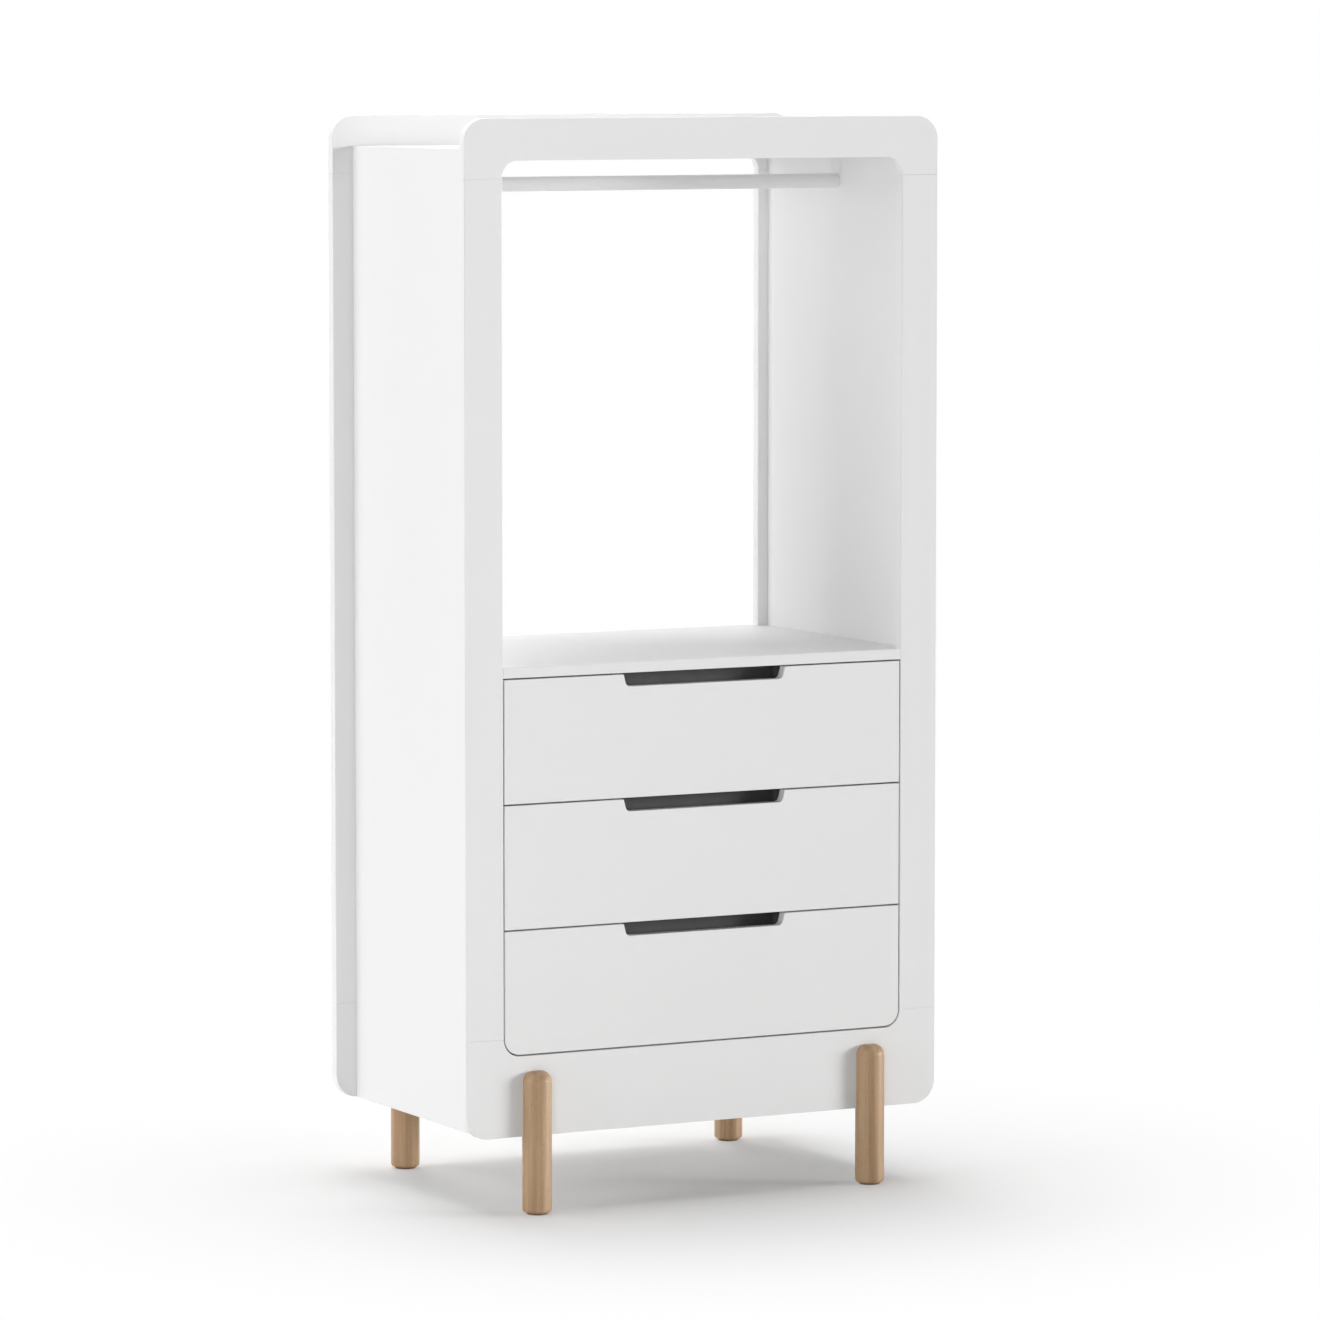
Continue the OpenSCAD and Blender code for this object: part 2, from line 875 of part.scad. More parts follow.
module drawer_side(side, i) {
  color(white_inside)
    difference() {
      translate([side > 0 ? box_in_x : -box_x, inner_front_y, box_low_z(i)])
        cube([drawer_side_t, drawer_side_l, drawer_side_h]);
      at_front_dowels(i)
        drawer_dowel_hole();
      at_back_dowels(i)
        drawer_dowel_hole();
      bottom_space(i, groove_fit);
      at_drawer_screws(i)
        pan_screw_hole();
    }
}

module drawer_back(i) {
  color(white_inside)
    difference() {
      box_between(
        [-box_in_x, box_back_y - drawer_side_t, box_low_z(i)],
        [box_in_x, box_back_y, box_low_z(i) + drawer_side_h]
      );
      at_back_dowels(i)
        drawer_dowel_hole();
      bottom_space(i, groove_fit);
    }
}

module drawer_bottom(i) {
  color(white_inside)
    bottom_space(i, 0);
}

// Finger pull: a moulded trough behind the notch. Its section and its plan are both rounded,
// and the trough is where the two prisms meet.

// Section across the trough: x is the distance behind the front, y the height above the notch's edge
module trough_section(depth_in, drop, r) {
  intersection() {
    rounded_rect([-2 * r, -drop], [depth_in, notch_h + 2 * r], r);
    translate([0, -drop])
      square([depth_in, drop + notch_h]);
  }
}

// Half the width of the trough's inside, which runs on behind the ends of the notch
trough_half = notch_w / 2 + trough_room;

// Plan of the trough: x across the wardrobe, y the distance behind the front
module trough_plan(half, depth_in, r) {
  intersection() {
    rounded_rect([-half, -2 * r], [half, depth_in], r);
    translate([-half, 0])
      square([2 * half, depth_in]);
  }
}

module trough_body(inset) {
  half = trough_half + trough_wall - inset;
  depth_in = trough_d - inset;
  drop = trough_drop + trough_wall - inset;
  r = trough_r - inset;
  intersection() {
    translate([-half, 0, 0])
      rotate([90, 0, 90])
        linear_extrude(height = 2 * half)
          trough_section(depth_in, drop, r);
    translate([0, 0, -drop - cut])
      linear_extrude(height = drop + notch_h + 2 * cut)
        trough_plan(half, depth_in, r);
  }
}

// Rim against the back of the front, open where the notch is
module trough_rim() {
  half = notch_w / 2 + rim_w;
  low = -trough_drop - rim_w;
  upright(0, trough_wall)
    rounded_rect([-half, low], [half, notch_h], notch_r);
}

// Opening of the trough towards the notch
module trough_mouth() {
  upright(-cut, trough_wall + 2 * cut)
    notch_outline();
}

module drawer_pull(i) {
  color(dark_plastic)
    translate([0, inner_front_y, front_low_z(i) + drawer_front_h - notch_h])
      difference() {
        union() {
          trough_body(0);
          trough_rim();
        }
        difference() {
          trough_body(trough_wall);
          upright(-cut, trough_wall + cut)
            translate([-frame_w / 2, -frame_w / 2])
              square(frame_w);
        }
        trough_top();
        trough_mouth();
      }
}

// The trough is open at the top, over its whole inside
module trough_top() {
  r = trough_r - trough_wall;
  translate([0, 0, notch_h - cut])
    linear_extrude(height = 2 * cut)
      intersection() {
        trough_plan(trough_half, trough_d - trough_wall, r);
        translate([-trough_half, trough_wall])
          square([2 * trough_half, trough_d]);
      }
}

// Nodes

top_rail(front_y);  // front_top_rail
bottom_rail(front_y);  // front_bottom_rail
stile(left, front_y);  // front_left_stile
stile(right, front_y);  // front_right_stile
top_rail(inner_back_y);  // back_top_rail
bottom_rail(inner_back_y);  // back_bottom_rail
stile(left, inner_back_y);  // back_left_stile
stile(right, inner_back_y);  // back_right_stile
frame_dowels();
side_panel(left);  // left_side_panel
side_panel(right);  // right_side_panel
top_panel();
deck_panel();
bottom_panel();
back_panel();
panel_dowels();
back_panel_screws();
hanging_rail();
rail_plugs();
leg(left, front_y);  // front_left_leg
leg(right, front_y);  // front_right_leg
leg(left, inner_back_y);  // rear_left_leg
leg(right, inner_back_y);  // rear_right_leg
leg_glides();
leg_bolts();
leg_inserts();
battens(left);  // left_battens
battens(right);  // right_battens
cabinet_runners();
cabinet_runner_screws();
intermediate_runners(top);  // top_intermediate_runners
intermediate_runners(middle);  // middle_intermediate_runners
intermediate_runners(bottom);  // bottom_intermediate_runners
drawer_front(top);  // top_drawer_front
drawer_pull(top);  // top_drawer_pull
drawer_side(left, top);  // top_drawer_left_side
drawer_side(right, top);  // top_drawer_right_side
drawer_back(top);  // top_drawer_back
drawer_bottom(top);  // top_drawer_bottom
drawer_dowels(top);  // top_drawer_dowels
drawer_runners(top);  // top_drawer_runners
drawer_screws(top);  // top_drawer_screws
drawer_front(middle);  // middle_drawer_front
drawer_pull(middle);  // middle_drawer_pull
drawer_side(left, middle);  // middle_drawer_left_side
drawer_side(right, middle);  // middle_drawer_right_side
drawer_back(middle);  // middle_drawer_back
drawer_bottom(middle);  // middle_drawer_bottom
drawer_dowels(middle);  // middle_drawer_dowels
drawer_runners(middle);  // middle_drawer_runners
drawer_screws(middle);  // middle_drawer_screws
drawer_front(bottom);  // bottom_drawer_front
drawer_pull(bottom);  // bottom_drawer_pull
drawer_side(left, bottom);  // bottom_drawer_left_side
drawer_side(right, bottom);  // bottom_drawer_right_side
drawer_back(bottom);  // bottom_drawer_back
drawer_bottom(bottom);  // bottom_drawer_bottom
drawer_dowels(bottom);  // bottom_drawer_dowels
drawer_runners(bottom);  // bottom_drawer_runners
drawer_screws(bottom);  // bottom_drawer_screws
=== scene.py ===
import math

import bmesh
import bpy
from mathutils import Matrix, Vector


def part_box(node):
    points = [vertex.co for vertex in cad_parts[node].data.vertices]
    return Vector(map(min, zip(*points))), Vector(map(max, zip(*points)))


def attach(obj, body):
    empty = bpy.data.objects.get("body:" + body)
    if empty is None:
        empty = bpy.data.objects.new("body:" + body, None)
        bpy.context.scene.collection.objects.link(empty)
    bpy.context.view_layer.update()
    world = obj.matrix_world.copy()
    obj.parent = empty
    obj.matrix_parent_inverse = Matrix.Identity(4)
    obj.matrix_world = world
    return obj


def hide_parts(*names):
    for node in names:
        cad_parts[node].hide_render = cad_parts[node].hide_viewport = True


# Open wardrobe with three drawers. Lengths are in metres, with x to the right, y to the back and z up.
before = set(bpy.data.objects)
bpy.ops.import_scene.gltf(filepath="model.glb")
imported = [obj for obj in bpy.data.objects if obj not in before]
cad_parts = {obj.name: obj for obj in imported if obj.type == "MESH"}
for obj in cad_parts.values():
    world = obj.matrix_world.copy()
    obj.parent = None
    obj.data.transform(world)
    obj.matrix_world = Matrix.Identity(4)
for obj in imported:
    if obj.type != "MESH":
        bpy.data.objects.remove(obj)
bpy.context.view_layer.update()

MM = 0.001
SIDES = ("left", "right")
DRAWERS = ("bottom", "middle", "top")
LEGS = ("front_left_leg", "front_right_leg", "rear_left_leg", "rear_right_leg")

# Places that the frame gives. Near is towards the front and far is towards the back.
low_rail_low, low_rail_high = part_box("front_bottom_rail")
high_rail_low, high_rail_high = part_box("front_top_rail")
back_rail_low, back_rail_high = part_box("back_bottom_rail")
leg_low, leg_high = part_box("front_left_leg")
half_width = low_rail_high.x
clear_height, low_seam = low_rail_low.z, low_rail_high.z
high_seam, total_height = high_rail_low.z, high_rail_high.z
front_near, front_far = low_rail_low.y, low_rail_high.y
back_near, back_far = back_rail_low.y, back_rail_high.y
opening_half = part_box("front_right_stile")[0].x
leg_x = (leg_low.x + leg_high.x) / 2

# Frames and gaps
OUTER_CORNER = 40 * MM
INNER_CORNER = 30 * MM
DRAWER_GAP = 2.5 * MM

# Legs, whose axis lies a little before the face that they are lapped on
LEG_RADIUS = 25 * MM
LEG_OUT = 3 * MM
LEG_DOME = 18 * MM
LEG_FOOT = 6 * MM
GLIDE_HEIGHT = 3 * MM
BOLT_HEIGHTS = (164 * MM, 210 * MM)
BOLT_SEAT_RADIUS = 6.3 * MM
BOLT_SEAT_DEPTH = 3.2 * MM
BOLT_SEAT_RIM = 0.4 * MM

# Hanging rail
RAIL_WALL = 1.5 * MM
RAIL_CHAMFER = 0.3 * MM

# Notches, whose ends lean outwards by so many degrees, and the finger troughs behind them
NOTCH_HALF = 154 * MM
NOTCH_HEIGHT = 20.5 * MM
NOTCH_CORNER = 9 * MM
NOTCH_LEAN = 14
TROUGH_DEPTH = 26 * MM
TROUGH_WALL = 2.4 * MM
TROUGH_DROP = 14 * MM
TROUGH_CORNER = 14 * MM
TROUGH_PAST_NOTCH = 8 * MM
TROUGH_HALF = NOTCH_HALF + TROUGH_PAST_NOTCH
LEAST_CORNER = 0.3 * MM
RIM_WIDTH = 12 * MM

# How far a cutter reaches past what it cuts
CUT_PAST = 1 * MM

# Widths of the softened edges
BOARD_ARRIS = 1.2 * MM
SEAM_ARRIS = 0.9 * MM
PANEL_ARRIS = 0.7 * MM
BACK_PANEL_ARRIS = 0.4 * MM
BATTEN_ARRIS = 1.5 * MM
FRONT_ARRIS = 1.2 * MM
DRAWER_BOTTOM_ARRIS = 0.3 * MM

# Steps along an arc or round a turned body
CORNER_STEPS = 20
NOTCH_STEPS = 12
TROUGH_STEPS = 10
FOOT_STEPS = 10
DOME_STEPS = 24
TURNED_STEPS = 128
SEAT_STEPS = 48

# Degrees past which a corner of an outline, or an edge between two faces, is sharp
SHARP_CORNER = 20
SHARP_EDGE = 35
SHARP_TROUGH_EDGE = 30

# Heights that differ by less are the same
SAME_HEIGHT = 1e-6


# Camera: the photograph's own view, which needs no shift

CAMERA_PLACE = Vector((-5.2253, -10.0642, 1.9558))
CAMERA_YAW = math.radians(27.65)
CAMERA_DOWN = math.radians(5.331)
CAMERA_LENS = 180.41
CAMERA_SENSOR = 36


def make_camera():
    data = bpy.data.cameras.new("camera")
    data.lens = CAMERA_LENS
    data.sensor_width = CAMERA_SENSOR
    camera = bpy.data.objects.new("camera", data)
    level = math.cos(CAMERA_DOWN)
    ahead = Vector((math.sin(CAMERA_YAW) * level, math.cos(CAMERA_YAW) * level, -math.sin(CAMERA_DOWN)))
    camera.location = CAMERA_PLACE
    camera.rotation_mode = "QUATERNION"
    camera.rotation_quaternion = ahead.to_track_quat("-Z", "Y")
    bpy.context.scene.collection.objects.link(camera)
    bpy.context.scene.camera = camera


# Shader nodes

# The mix node's sockets for colours, which share their names with its other sockets
MIX_SHARE, MIX_FIRST, MIX_SECOND, MIX_RESULT = 0, 6, 7, 2


def linear(red, green, blue):
    """A colour written as screen values from 0 to 255, as the shader wants it."""
    return (*(((c / 255 + 0.055) / 1.055) ** 2.4 for c in (red, green, blue)), 1)


def shade(colour, factor):
    """The colour made darker, or lighter by a factor over 1."""
    return tuple(c * factor for c in colour[:3]) + (1,)


def add(tree, kind, inputs=None, **settings):
    """A shader node whose inputs are values or other nodes' outputs.
    An input goes by its name, or by its number where names repeat on the node."""
    made = tree.nodes.new("ShaderNode" + kind)
    for key, value in settings.items():
        setattr(made, key, value)
    for key, value in (inputs or {}).items():
        if isinstance(value, bpy.types.NodeSocket):
            tree.links.new(value, made.inputs[key])
        else:
            made.inputs[key].default_value = value
    return made


def noise(tree, place, scale, detail, roughness=0.5):
    inputs = {"Vector": place, "Scale": scale, "Detail": detail, "Roughness": roughness}
    return add(tree, "TexNoise", inputs).outputs["Fac"]


def cells(tree, place, scale, output):
    """Irregular cells: the distance from their points, or a random colour for each."""
    inputs = {"Vector": place, "Scale": scale, "Randomness": 1.0}
    return add(tree, "TexVoronoi", inputs).outputs[output]


def spread(tree, value, low, high, start=0.3, end=0.7):
    """Maps a pattern's values from start to end to the range from low to high."""
    inputs = {"Value": value, "From Min": start, "From Max": end, "To Min": low, "To Max": high}
    return add(tree, "MapRange", inputs).outputs["Result"]


def blend(tree, share, first, second):
    """The first colour, with a share of the second mixed in."""
    inputs = {MIX_SHARE: share, MIX_FIRST: first, MIX_SECOND: second}
    return add(tree, "Mix", inputs, data_type="RGBA").outputs[MIX_RESULT]


def scaled(tree, place, factors):
    return add(tree, "Mapping", {"Vector": place, "Scale": factors}).outputs["Vector"]


def drawn_out(tree, place, axis, pace):
    """Coordinates that run at a slower pace along one axis, so that a pattern is drawn out along it."""
    return scaled(tree, place, [pace if name == axis else 1.0 for name in "xyz"])


def bump(tree, height, depth, below=None):
    inputs = {"Height": height, "Distance": depth, "Strength": 1.0}
    if below is not None:
        inputs["Normal"] = below
    return add(tree, "Bump", inputs).outputs["Normal"]


# Materials

# Pace of a pattern along the grain or the rolls, as a share of its pace across them
FIBRE_PACE = 0.035
FLECK_PACE = 0.16
ROLLED_PACE = 0.03


def start_material(name):
    """A new material, its node tree and its object coordinates."""
    material = bpy.data.materials.new(name)
    material.use_nodes = True
    tree = material.node_tree
    return material, tree, add(tree, "TexCoord").outputs["Object"]


def set_surface(material, colour, roughness, normal, specular=0.5, metallic=0.0):
    tree = material.node_tree
    inputs = tree.nodes["Principled BSDF"].inputs
    tree.links.new(colour, inputs["Base Color"])
    tree.links.new(roughness, inputs["Roughness"])
    tree.links.new(normal, inputs["Normal"])
    inputs["Specular IOR Level"].default_value = specular
    inputs["Metallic"].default_value = metallic
    return material


def painted(name, colour, roughness, peel_scale, peel_depth):
    """Sprayed or powder coated paint: soft clouds in its tone and gloss, and a faint orange peel."""
    material, tree, place = start_material(name)
    clouds = noise(tree, place, scale=7, detail=3)
    gloss = noise(tree, place, scale=23, detail=4, roughness=0.6)
    peel = noise(tree, place, scale=peel_scale, detail=2)
    tone = blend(tree, spread(tree, clouds, 0, 1), shade(colour, 0.994), colour)
    sheen = spread(tree, gloss, roughness - 0.015, roughness + 0.02)
    return set_surface(material, tone, sheen, bump(tree, peel, peel_depth), specular=0.4)


def foiled(name, colour, roughness):
    """White board foil with a fine embossed grain that runs to the back."""
    material, tree, place = start_material(name)
    pores = noise(tree, scaled(tree, place, (900, 120, 900)), scale=1, detail=3, roughness=0.6)
    clouds = noise(tree, place, scale=5, detail=2)
    tone = blend(tree, spread(tree, clouds, 0, 1), shade(colour, 0.975), colour)
    sheen = spread(tree, pores, roughness - 0.06, roughness + 0.08)
    return set_surface(material, tone, sheen, bump(tree, pores, 0.05 * MM), specular=0.35)


def wood(name, light, dark, grain, roughness):
    """Pale wood: long soft growth lines, fine fibres and short flecks, all along the axis of its grain."""
    material, tree, place = start_material(name)
    fibre_place = drawn_out(tree, place, grain, FIBRE_PACE)
    fleck_place = drawn_out(tree, place, grain, FLECK_PACE)
    drift = noise(tree, fibre_place, scale=75, detail=2)
    lines = noise(tree, fibre_place, scale=160, detail=4, roughness=0.62)
    fibres = noise(tree, fibre_place, scale=900, detail=3, roughness=0.6)
    flecks = cells(tree, fleck_place, 420, "Distance")
    middle = tuple(a * 0.45 + b * 0.55 for a, b in zip(light[:3], dark[:3])) + (1,)
    tone = blend(tree, spread(tree, drift, 0, 1, start=0.38, end=0.6), dark, light)
    tone = blend(tree, spread(tree, lines, 0.55, 0, start=0.38, end=0.62), tone, middle)
    tone = blend(tree, spread(tree, flecks, 0.5, 0, start=0.08, end=0.26), tone, shade(dark, 0.62))
    tone = blend(tree, spread(tree, fibres, 0.28, 0, start=0.35, end=0.55), tone, shade(dark, 0.86))
    sheen = spread(tree, fibres, roughness + 0.08, roughness - 0.04)
    relief = bump(tree, lines, 0.06 * MM, below=bump(tree, fibres, 0.04 * MM))
    return set_surface(material, tone, sheen, relief, specular=0.45)


def moulded(name, colour, roughness, depth):
    """Moulded plastic with the fine spark texture of its tool."""
    material, tree, place = start_material(name)
    grain = cells(tree, place, 1500, "Distance")
    clouds = noise(tree, place, scale=40, detail=3)
    tone = blend(tree, spread(tree, clouds, 0, 1), colour, shade(colour, 1.18))
    sheen = spread(tree, grain, roughness - 0.05, roughness + 0.1, start=0.1, end=0.8)
    return set_surface(material, tone, sheen, bump(tree, grain, depth))


def rolled_metal(name, light, dark, roughness, along):
    """Rolled or drawn metal: a pale spangle, and fine lines along the axis that it was drawn on."""
    material, tree, place = start_material(name)
    line_place = drawn_out(tree, place, along, ROLLED_PACE)
    lines = noise(tree, line_place, scale=1400, detail=3, roughness=0.6)
    spangle = cells(tree, place, 260, "Color")
    grey = add(tree, "RGBToBW", {"Color": spangle}).outputs["Val"]
    tone = blend(tree, grey, dark, light)
    sheen = spread(tree, lines, roughness - 0.07, roughness + 0.1)
    return set_surface(material, tone, sheen, bump(tree, lines, 0.015 * MM), metallic=1.0)


white_lacquer = painted("white_lacquer", linear(236, 236, 236), 0.42, peel_scale=650, peel_depth=0.02 * MM)
white_board = foiled("white_board", linear(234, 234, 233), 0.5)
white_steel = painted("white_steel", linear(236, 236, 236), 0.36, peel_scale=900, peel_depth=0.03 * MM)
beech = wood("beech", linear(195, 163, 127), linear(165, 132, 98), "z", 0.42)
dowel_wood = wood("dowel_wood", linear(214, 184, 146), linear(192, 158, 120), "x", 0.6)
batten_wood = wood("batten_wood", linear(222, 196, 158), linear(196, 164, 124), "y", 0.6)
dark_plastic = moulded("dark_plastic", linear(66, 66, 67), 0.6, 0.03 * MM)
glide_plastic = moulded("glide_plastic", linear(112, 88, 66), 0.6, 0.04 * MM)
zinc_steel = rolled_metal("zinc_steel", linear(205, 208, 212), linear(176, 180, 186), 0.34, "y")
brass = rolled_metal("brass", linear(212, 184, 118), linear(190, 160, 96), 0.3, "z")

SLOT_MATERIALS = {
    "white_lacquer": white_lacquer,
    "white_board": white_board,
    "white_steel": white_steel,
    "beech": beech,
    "batten_wood": batten_wood,
    "dark_plastic": dark_plastic,
}

# Nodes that stay as they are and only get a finish
CABINET_FINISHES = {
    "frame_dowels": dowel_wood,
    "panel_dowels": dowel_wood,
    "back_panel_screws": zinc_steel,
    "rail_plugs": dark_plastic,
    "leg_glides": glide_plastic,
    "leg_bolts": zinc_steel,
    "leg_inserts": brass,
    "cabinet_runners": zinc_steel,
    "cabinet_runner_screws": zinc_steel,
}
DRAWER_FINISHES = {
    "intermediate_runners": zinc_steel,
    "drawer_dowels": dowel_wood,
    "drawer_runners": zinc_steel,
    "drawer_screws": zinc_steel,
}


def finish_nodes():
    finishes = dict(CABINET_FINISHES)
    for drawer in DRAWERS:
        for node, material in DRAWER_FINISHES.items():
            finishes[drawer + "_" + node] = material
    for node, material in finishes.items():
        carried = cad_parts[node]
        carried.data.materials.clear()
        carried.data.materials.append(material)


# Outlines


def arc(x, y, radius, start, end, steps):
    """Points on an arc, with its angles in degrees."""
    angles = [math.radians(start + (end - start) * i / steps) for i in range(steps + 1)]
    return [(x + radius * math.cos(a), y + radius * math.sin(a)) for a in angles]


def rectangle(x0, y0, x1, y1):
    return [(x0, y0), (x1, y0), (x1, y1), (x0, y1)]


def rounded_rectangle(x0, y0, x1, y1, radius, steps):
    points = arc(x0 + radius, y0 + radius, radius, 180, 270, steps)
    points += arc(x1 - radius, y0 + radius, radius, 270, 360, steps)
    points += arc(x1 - radius, y1 - radius, radius, 0, 90, steps)
    return points + arc(x0 + radius, y1 - radius, radius, 90, 180, steps)


def turned(axis, u, v, w):
    """A point of an outline that lies across an axis: (y, z) for x, (x, z) for y and (x, y) for z."""
    point = [u, v]
    point.insert("xyz".index(axis), w)
    return point


# Mesh tools


def mesh_object(name, mesh):
    made = bpy.data.objects.new(name, mesh)
    bpy.context.scene.collection.objects.link(made)
    return made


def from_bmesh(name, bm):
    """Turns a finished bmesh into an object, and frees it."""
    mesh = bpy.data.meshes.new(name)
    bm.to_mesh(mesh)
    bm.free()
    return mesh_object(name, mesh)


def prism(name, outline, axis, low, high, seams=()):
    """A board: an outline pushed along an axis, with its sharp edges marked for softening.
    A side of the outline at the height of a seam is a joint between frame boards, with a finer arris."""
    count = len(outline)
    marks = []
    for i in range(count):
        heights = (outline[i][1], outline[(i + 1) % count][1])
        joint = any(all(abs(height - seam) < SAME_HEIGHT for height in heights) for seam in seams)
        marks.append(SEAM_ARRIS / BOARD_ARRIS if joint else 1.0)
    bm = bmesh.new()
    weight = bm.edges.layers.float.new("bevel_weight_edge")
    rings = [[bm.verts.new(turned(axis, u, v, w)) for u, v in outline] for w in (low, high)]
    bm.faces.new(rings[0])
    bm.faces.new(list(reversed(rings[1])))
    for i in range(count):
        j = (i + 1) % count
        bm.faces.new((rings[0][j], rings[0][i], rings[1][i], rings[1][j]))
        for ring in rings:
            bm.edges.get((ring[i], ring[j]))[weight] = marks[i]
        before = Vector(outline[i]) - Vector(outline[i - 1])
        after = Vector(outline[j]) - Vector(outline[i])
        if before.angle(after) > math.radians(SHARP_CORNER):
            bm.edges.get((rings[0][i], rings[1][i]))[weight] = min(marks[i - 1], marks[i])
    bmesh.ops.recalc_face_normals(bm, faces=bm.faces)
    return from_bmesh(name, bm)


def lathe(name, profile, centre, axis, steps):
    """A turned body: profile points are (radius, distance along the axis), and a radius of 0 is a pole."""
    bm = bmesh.new()
    rings = []
    for radius, along in profile:
        angles = [2 * math.pi * i / steps for i in range(steps if radius else 1)]
        points = [(centre[0] + radius * math.cos(a), centre[1] + radius * math.sin(a)) for a in angles]
        rings.append([bm.verts.new(turned(axis, u, v, along)) for u, v in points])
    for first, second in zip(rings, rings[1:]):
        for i in range(steps):
            pair = (i, (i + 1) % steps)
            corners = [first[k % len(first)] for k in pair]
            corners += [second[k % len(second)] for k in reversed(pair)]
            # At a pole two corners are the same point, which the face names once
            bm.faces.new(list(dict.fromkeys(corners)))
    bmesh.ops.recalc_face_normals(bm, faces=bm.faces)
    return from_bmesh(name, bm)


def tub(name, half, depth, drop, top, corner, front):
    """A tub with rounded ends and a rounded floor, for the outside or the inside of a finger trough.
    Its loops go from the top down to the floor, and the rounding sets how far each is inset."""
    bm = bmesh.new()
    loops = []
    for inset, height in [(0, top)] + arc(corner, corner - drop, corner, 180, 270, TROUGH_STEPS):
        radius = max(corner - inset, LEAST_CORNER)
        x, y = half - inset, depth - inset
        points = [(-x, front), (x, front)]
        points += arc(x - radius, y - radius, radius, 0, 90, TROUGH_STEPS)
        points += arc(-x + radius, y - radius, radius, 90, 180, TROUGH_STEPS)
        loops.append([bm.verts.new((u, v, height)) for u, v in points])
    count = len(loops[0])
    for first, second in zip(loops, loops[1:]):
        for i in range(count):
            j = (i + 1) % count
            bm.faces.new((first[i], first[j], second[j], second[i]))
    bm.faces.new(loops[0])
    bm.faces.new(list(reversed(loops[-1])))
    bmesh.ops.recalc_face_normals(bm, faces=bm.faces)
    return from_bmesh(name, bm)


def join(name, parts):
    """Several meshes as one piece, with their marked edges kept."""
    bm = bmesh.new()
    for part in parts:
        bm.from_mesh(part.data)
        bpy.data.objects.remove(part)
    return from_bmesh(name, bm)


def combine(made, other, operation):
    """Cuts the other solid out of the piece, or joins it to the piece, and removes it."""
    step = made.modifiers.new("combine", "BOOLEAN")
    step.object = other
    step.operation = operation
    step.solver = "EXACT"
    graph = bpy.context.evaluated_depsgraph_get()
    mesh = bpy.data.meshes.new_from_object(made.evaluated_get(graph), depsgraph=graph)
    made.modifiers.clear()
    made.data = mesh
    bpy.data.objects.remove(other)


def soften(made, width, segments=3):
    """Rounds the marked edges of a piece and keeps its flat faces flat."""
    step = made.modifiers.new("arris", "BEVEL")
    step.width = width
    step.segments = segments
    step.limit_method = "WEIGHT"
    made.data.polygons.foreach_set("use_smooth", [True] * len(made.data.polygons))
    made.modifiers.new("normals", "WEIGHTED_NORMAL").keep_sharp = True


def smooth(made, angle=SHARP_EDGE):
    """Smooth shading, sharp where two faces meet at more than the angle."""
    made.data.polygons.foreach_set("use_smooth", [True] * len(made.data.polygons))
    made.data.set_sharp_from_angle(angle=math.radians(angle))


def finish_piece(made, body, slot, nodes):
    """Gives a piece the material of its slot, puts it on its body, and hides the nodes that it stands for."""
    made.data.materials.clear()
    made.data.materials.append(SLOT_MATERIALS[slot])
    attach(made, body)
    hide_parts(*nodes)


def box_board(node, body, slot, arris=PANEL_ARRIS, axis="y"):
    """A plain rectangular board in the place of its node."""
    low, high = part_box(node)
    w = "xyz".index(axis)
    u, v = [i for i in range(3) if i != w]
    made = prism(node + "_look", rectangle(low[u], low[v], high[u], high[v]), axis, low[w], high[w])
    soften(made, arris)
    finish_piece(made, body, slot, [node])


# Frames


def rail_outline(edge, seam):
    """Outline of a frame rail from its free edge to the seam, as seen from the front."""
    side = 1 if seam > edge else -1
    turn = 90 * side
    outer_x, outer_z = half_width - OUTER_CORNER, edge + side * OUTER_CORNER
    inner_x = opening_half - INNER_CORNER
    points = [(-half_width, seam)]
    points += arc(-outer_x, outer_z, OUTER_CORNER, 180, 180 + turn, CORNER_STEPS)
    points += arc(outer_x, outer_z, OUTER_CORNER, -turn, 0, CORNER_STEPS)
    points.append((half_width, seam))
    points += arc(inner_x, seam, INNER_CORNER, 0, -turn, CORNER_STEPS)
    return points + arc(-inner_x, seam, INNER_CORNER, 180 + turn, 180, CORNER_STEPS)


def bolt_seat(x, height, y):
    """The sunk seat of a bolt head in the back face of a rail."""
    floor, outside = y - BOLT_SEAT_DEPTH, y + BOLT_SEAT_DEPTH
    radius, wide = BOLT_SEAT_RADIUS, BOLT_SEAT_RADIUS + BOLT_SEAT_RIM
    profile = [(0, floor), (radius, floor), (radius, y - BOLT_SEAT_RIM)]
    profile += [(wide, y), (wide, outside), (0, outside)]
    return lathe("bolt_seat", profile, (x, height), "y", SEAT_STEPS)


def frame_rail(node, edge, seam, near, far, bolted):
    made = prism(node + "_look", rail_outline(edge, seam), "y", near, far, [seam])
    if bolted:
        for x in (leg_x, -leg_x):
            for height in BOLT_HEIGHTS:
                combine(made, bolt_seat(x, height, far), "DIFFERENCE")
    soften(made, BOARD_ARRIS)
    finish_piece(made, "cabinet", "white_lacquer", [node])


def stile(node, near, far):
    low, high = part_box(node)
    made = prism(node + "_look", rectangle(low.x, low.z, high.x, high.z), "y", near, far, [low.z, high.z])
    soften(made, BOARD_ARRIS)
    finish_piece(made, "cabinet", "white_lacquer", [node])


def make_frames():
    for which, near, far in (("front", front_near, front_far), ("back", back_near, back_far)):
        frame_rail(which + "_top_rail", total_height, high_seam, near, far, bolted=False)
        frame_rail(which + "_bottom_rail", clear_height, low_seam, near, far, bolted=True)
        for side in SIDES:
            stile(f"{which}_{side}_stile", near, far)


# Panels


